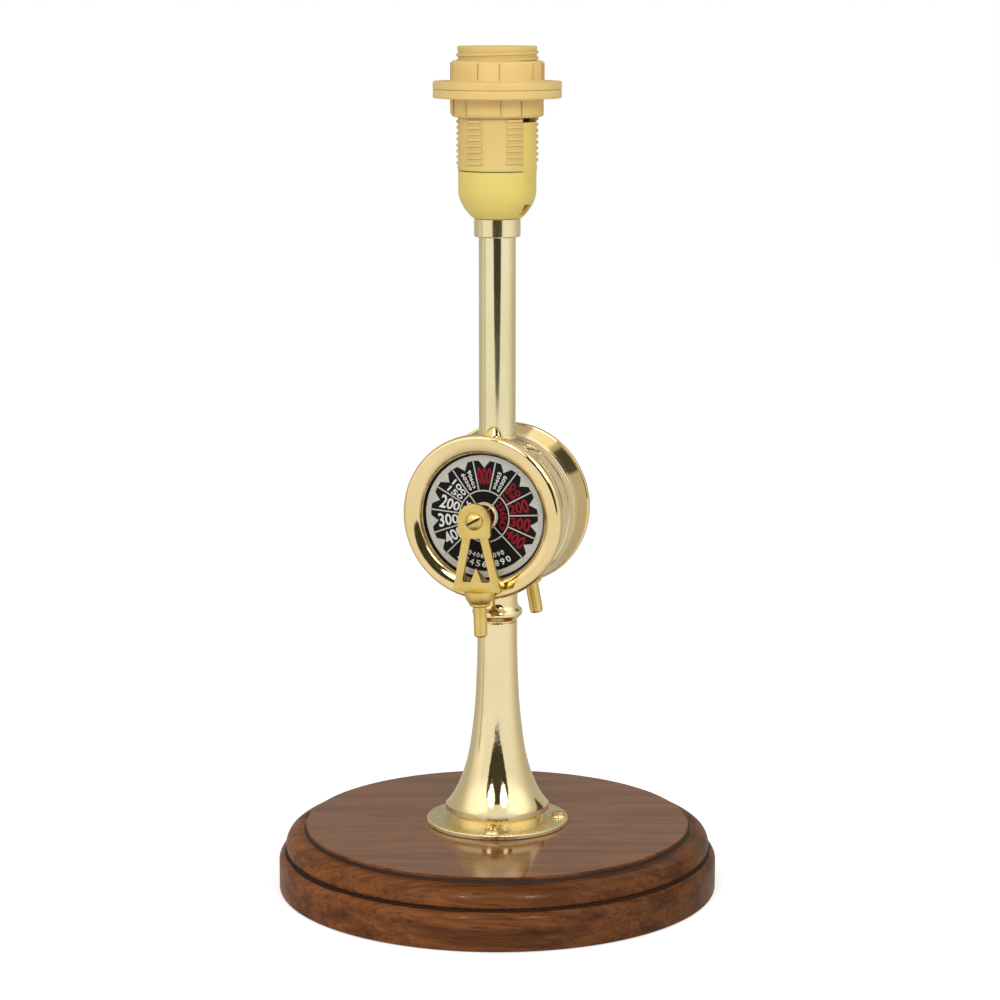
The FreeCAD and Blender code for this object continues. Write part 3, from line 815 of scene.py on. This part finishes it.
def numberShape(text, width, height, s):
    # a number as a thin mesh, width by height in mm, standing on the origin's middle
    curve = bpy.data.curves.new("number", "FONT")
    curve.body = text
    curve.resolution_u = s["numberSteps"]
    curve.offset = s["numberWeight"]
    curve.extrude = 0.5
    holder = addObject("number", curve)
    mesh = bpy.data.meshes.new_from_object(holder)
    bpy.data.objects.remove(holder)
    bm = bmesh.new()
    bm.from_mesh(mesh)
    bpy.data.meshes.remove(mesh)
    bmesh.ops.remove_doubles(bm, verts=bm.verts, dist=s["numberGap"])
    low = Vector(min(v.co[i] for v in bm.verts) for i in range(3))
    high = Vector(max(v.co[i] for v in bm.verts) for i in range(3))
    wanted = (width, height, s["printHeight"])
    bmesh.ops.translate(bm, vec=-(low + high) / 2, verts=bm.verts)
    bmesh.ops.scale(bm, vec=[w * mm / had for w, had in zip(wanted, high - low)], verts=bm.verts)
    bmesh.ops.translate(bm, vec=(0, 0, s["printHeight"] / 2 * mm), verts=bm.verts)
    return bm


def turnedNumber(text, angle, radius, width, height, s, along=0.0, aside=0.0, spread=True):
    # angle is clockwise from the top, along turns the number about its own middle, spread widens it outwards
    bm = numberShape(text, width, height, s)
    turnVerts(bm, bm.verts, along)
    bmesh.ops.translate(bm, vec=(aside * mm, radius * mm, 0), verts=bm.verts)
    if spread:
        for vert in bm.verts:
            vert.co.x *= vert.co.y / (radius * mm)
    turnVerts(bm, bm.verts, -angle)
    return bm


def dialLines(bm, s):
    joinInto(bm, silverRing(s), silver)
    for radius in (s["innerCircle"], s["hubCircle"]):
        joinInto(bm, thinRing(radius, s), silver)
    for i in range(s["sectors"] + 1):
        angle = s["sectorTurn"] * (i - s["sectors"] / 2)
        joinInto(bm, thinLine(angle, s["innerCircle"], s["toothTop"] + s["lineOverlap"], s), silver)
    for sector in s["hubLines"]:
        joinInto(bm, thinLine(s["sectorTurn"] * sector, s["hubCircle"], s["innerCircle"], s), silver)


def dialPrint(name, rearSide, s):
    bm = bmesh.new()
    dialLines(bm, s)
    for side, colour, rowName in ((-1, white, "whiteRow"), (1, red, "redRow")):
        for sector, text, radius, length, height, offset in s["spokeRows"]:
            angle = side * sector * s["sectorTurn"]
            shape = turnedNumber(text, angle, radius, length, height, s, 90 * side, -side * offset)
            joinInto(bm, shape, white if sector == 1 else colour)
        text, first, gap, radius, width, height = s[rowName]
        for i, letter in enumerate(text):
            joinInto(bm, turnedNumber(letter, side * (first + i * gap), radius, width, height, s), colour)
    text, radius, width, height = s["topNumber"]
    joinInto(bm, turnedNumber(text, 0, radius, width, height, s), red)
    for text, gap, radius, width, height in s["footRows"]:
        for i, letter in enumerate(text):
            if letter != " ":
                angle = 180 - (i - (len(text) - 1) / 2) * gap
                joinInto(bm, turnedNumber(letter, angle, radius, width, height, s, 180, 0, False), white)
    bmesh.ops.translate(bm, vec=(0, 0, s["plane"] * mm), verts=bm.verts)
    bmesh.ops.transform(bm, matrix=faceMatrix(rearSide), verts=bm.verts)
    piece = finishMesh(bm, name, [dialSilver, dialWhite, dialRed], smooth=False)
    place(piece, "lamp", "dial_print")


dialPrint("front_dial_print", False, dialSettings)
dialPrint("rear_dial_print", True, dialSettings)
print("dials printed")


# foot, column and bezels, in mm
headSettings = {
    "discTop": 22.6,           # the foot's top disc lies above this
    "upward": 0.9,             # and its faces point up at least this much
    # grooves of the foot that are coloured dark, painted shade: inner and outer radius, low and high edge
    "footGrooveShade": ((66.5, 68.65, 20.0, 22.12), (74.0, 75.5, 13.0, 14.4)),
    "bandFoot": 16.2,          # radius of the bell's band where it meets the flange
    "bandRim": 18.4,           # what stands out past this, below the band's top, is drawn in
    "bandTop": 29.5,
    "bezelSteps": 256,
    # bezel outline: radius, and distance from the drum's middle, from the inner foot out and round to the lip
    "bezel": ((24.42, 13.72), (24.42, 7.6), (26.85, 7.6), (28.35, 14.5), (28.65, 14.6), (28.8, 14.8),
              (28.8, 16.0), (28.74, 16.45), (28.58, 16.83), (28.33, 17.17), (28.0, 17.44), (27.6, 17.61),
              (27.2, 17.69), (26.6, 17.67), (26.0, 17.59), (25.4, 17.47), (24.8, 17.32), (24.2, 17.12),
              (23.7, 16.92), (23.3, 16.72), (22.95, 16.49), (22.65, 16.2), (22.42, 15.85), (22.26, 15.45),
              (22.16, 15.0), (22.12, 14.5), (22.12, 13.72)),
}


def finishedFoot(s):
    # the top disc takes the lighter copy of the wood, painted light, and a deeper coat than the turned edge,
    # whose copy is darker, painted shade; the two grooves are coloured dark, painted shade
    side, top, shadedGroove = range(3)
    bm = copyNode("wood_base", False)
    bmesh.ops.recalc_face_normals(bm, faces=bm.faces)
    for face in bm.faces:
        middle = face.calc_center_median() / mm
        radius = math.hypot(middle.x, middle.y)
        # upward faces of the top disc take the lighter copy of the wood: painted light
        if face.normal.z > s["upward"] and middle.z > s["discTop"]:
            face.material_index = top
        # faces in the two grooves take a dark colour: painted shade
        elif any(r0 < radius < r1 and z0 < middle.z < z1 for r0, r1, z0, z1 in s["footGrooveShade"]):
            face.material_index = shadedGroove
    piece = finishMesh(bm, "wood_base_finished", [woodPaintedShadedSide, woodPaintedLitTop, paintedGrooveShade])
    for face in piece.data.polygons:
        face.use_smooth = face.material_index != top
    place(piece, "lamp", "wood", "wood_base")


def taperedColumn(s):
    bm = copyNode("pedestal_column", False)
    for vert in bm.verts:
        if vert.co.z < s["bandTop"] * mm and radiusOf(vert) > s["bandRim"] * mm:
            setRadius(vert, s["bandFoot"] * mm)
    piece = finishMesh(bm, "column_tapered", [paleBrass])
    place(piece, "lamp", "polished_brass", "pedestal_column")


def roundBezel(name, rearSide, s):
    bm = bmesh.new()
    spinProfile(bm, s["bezel"], s["bezelSteps"])
    bmesh.ops.transform(bm, matrix=faceMatrix(rearSide), verts=bm.verts)
    piece = finishMesh(bm, name + "_rounded", [polishedBrass])
    place(piece, "lamp", "polished_brass", name)


finishedFoot(headSettings)
taperedColumn(headSettings)
roundBezel("front_bezel", False, headSettings)
roundBezel("rear_bezel", True, headSettings)
print("column and bezels done")


handleSettings = {"edge": 0.22}        # width of the eased edges, mm


def softEdged(name, body, slot, materials, width, extra=None):
    bm = copyNode(name)
    bevelSharp(bm, width)
    if extra:
        joinInto(bm, extra, 1)
    piece = finishMesh(bm, name + "_softened", materials)
    place(piece, body, slot, name)


for side in ("front", "rear"):
    softEdged(side + "_handle", side + "_handle_set", "cast_brass", [castBrass], handleSettings["edge"])
print("handles done")


# a screw's slot, in mm
screwSettings = {
    "slotReach": 1.4,          # it is narrower than this
    "wallArea": 0.1,           # each face of its walls is larger than this
    "lift": 0.02,              # the search starts this far off a face
}


def slotFaces(bm, s):
    # faces with the mesh close by on both sides: the walls and the floor of a screw's slot
    tree = BVHTree.FromBMesh(bm)
    lift = s["lift"] * mm

    def near(point, way):
        return tree.ray_cast(point, way, s["slotReach"] * mm)[0] is not None

    walls = [f for f in bm.faces if near(f.calc_center_median() + f.normal * lift, f.normal)]
    large = [f for f in walls if f.calc_area() > s["wallArea"] * mm * mm]
    ways = {tuple(round(c, 2) for c in f.normal) for f in large}
    found = []
    for face in bm.faces:
        point = face.calc_center_median() + face.normal * lift
        if any(near(point, Vector(way)) and near(point, -Vector(way)) for way in ways):
            found.append(face)
    return found


def slottedScrew(name, slot, material, s):
    bm = copyNode(name)
    bmesh.ops.recalc_face_normals(bm, faces=bm.faces)
    # the slot's walls and floor take a dark colour: painted shade
    for face in slotFaces(bm, s):
        face.material_index = 1
    piece = finishMesh(bm, name + "_slotted", [material, slotPaintedShade])
    place(piece, "lamp", slot, name)


slottedScrew("front_hub_screw", "cast_brass", castBrass, screwSettings)
slottedScrew("rear_hub_screw", "cast_brass", castBrass, screwSettings)
slottedScrew("flange_screws", "cast_brass", polishedBrass, screwSettings)
slottedScrew("drum_plug", "polished_brass", drumBrass, screwSettings)
print("screws done")


# cap, threaded barrel and shade rings, in mm and degrees
holderSettings = {
    "coreRadius": 13.45,
    "coreSlack": 0.2,          # the solid's surface past this much more is drawn in to the core
    "crestRadius": 14.03,
    "crestHalf": 0.40,
    "rootHalf": 0.60,
    "rootDepth": 0.3,          # a ridge starts this far inside the core
    "pitch": 2.0,
    "stepTurn": 4,             # a ridge's turn in one step of its sweep
    "leastSteps": 4,
    "threadSharp": 25,         # as sharpAngle, for the ridges
    "low": 255.1,              # height of the lowest ridge where its turn begins, at the back
    "turns": 8,
    # the lower ridges run between these angles, counted to the right of the view
    "windows": ((-95, -76), (-48, -22), (13, 38), (85, 112), (140, 166), (193, 218)),
    "top": (290.0, -95.0, 470.0),      # ridge above the rings: height, first and last angle
    "capEdge": 0.15,
    "ringEdge": 0.09,
    # painted shadow lines at the grip panels of each ring: first angle from the front, low and high end, turn
    # between a hollow's two lines
    "lowerGrip": (23.0, 271.9, 277.2, 27.0),
    "upperGrip": (-5.2, 284.0, 289.5, 27.0),
    "gripShadowLine": (15.2, 16.17, 0.22),   # two radii and the width of a painted shadow line
    "gripPanels": 5,
    "seam": 252.3,             # height where barrel and cap meet
    "seamReach": 0.5,
    "barrelSeamRise": 0.92,    # how far the seam is raised on each
    "capSeamRise": 0.74,
}


def threadRidge(bm, start, end, z, s):
    # one run of thread between two angles, swept up by the pitch
    steps = max(s["leastSteps"], round((end - start) / s["stepTurn"]))
    root, crest = s["coreRadius"] - s["rootDepth"], s["crestRadius"]
    verts = profileVerts(bm, [(root, z - s["rootHalf"]), (crest, z - s["crestHalf"]),
                              (crest, z + s["crestHalf"]), (root, z + s["rootHalf"])])
    face = bm.faces.new(verts)
    turnVerts(bm, verts, start - 90)
    rise = s["pitch"] * (end - start) / 360 / steps * mm
    bmesh.ops.spin(bm, geom=[face] + verts + list(face.edges), cent=(0, 0, 0), axis=(0, 0, 1),
                   angle=math.radians(end - start), steps=steps, dvec=(0, 0, rise))


def raiseSeam(bm, rise, s):
    for vert in bm.verts:
        if abs(vert.co.z - s["seam"] * mm) < s["seamReach"] * mm:
            vert.co.z += rise * mm


def gripShadowLines(row, s):
    # thin dark upright strips where the grip panels of a ring end: painted shadow
    first, low, high, gap = s[row]
    inner, outer, width = s["gripShadowLine"]
    size = (width, outer - inner, high - low)
    centre = (0, -(inner + outer) / 2, (low + high) / 2)
    bm = bmesh.new()
    for i in range(s["gripPanels"]):
        for angle in (first, first + gap):
            joinInto(bm, turnedBar(size, centre, angle + 360 / s["gripPanels"] * i), 0)
    return bm


def roundedCap(s):
    bm = copyNode("holder_cap")
    raiseSeam(bm, s["capSeamRise"], s)
    bevelSharp(bm, s["capEdge"])
    piece = finishMesh(bm, "holder_cap_softened", [yellowPlastic])
    place(piece, "lamp", "yellow_plastic", "holder_cap")


def threadedBarrel(s):
    bm = copyNode("holder_barrel")
    raiseSeam(bm, s["barrelSeamRise"], s)
    for vert in bm.verts:
        if radiusOf(vert) > (s["coreRadius"] + s["coreSlack"]) * mm:
            setRadius(vert, s["coreRadius"] * mm)
    ridges = bmesh.new()
    for start, end in s["windows"]:
        a, b = start + cameraSettings["turn"], end + cameraSettings["turn"]
        for i in range(s["turns"]):
            threadRidge(ridges, a, b, s["low"] + s["pitch"] * (i + (a + 180) / 360), s)
    z, first, last = s["top"]
    threadRidge(ridges, first, last, z, s)
    bmesh.ops.recalc_face_normals(ridges, faces=ridges.faces)
    joinInto(bm, ridges, 0)
    piece = finishMesh(bm, "threaded_barrel", [creamPlastic], sharpAngle=s["threadSharp"])
    place(piece, "lamp", "cream_plastic", "holder_barrel")


threadedBarrel(holderSettings)
roundedCap(holderSettings)
for side in ("lower", "upper"):
    # each ring gets dark strips at its grip panel edges: painted shadow
    shadowLines = gripShadowLines(side + "Grip", holderSettings)
    softEdged("shade_ring_" + side, side + "_ring", "cream_plastic", [ringPlastic, ringPaintedShadow],
              holderSettings["ringEdge"], shadowLines)
print("lampholder done")

bpy.context.scene.view_settings.view_transform = "Standard"
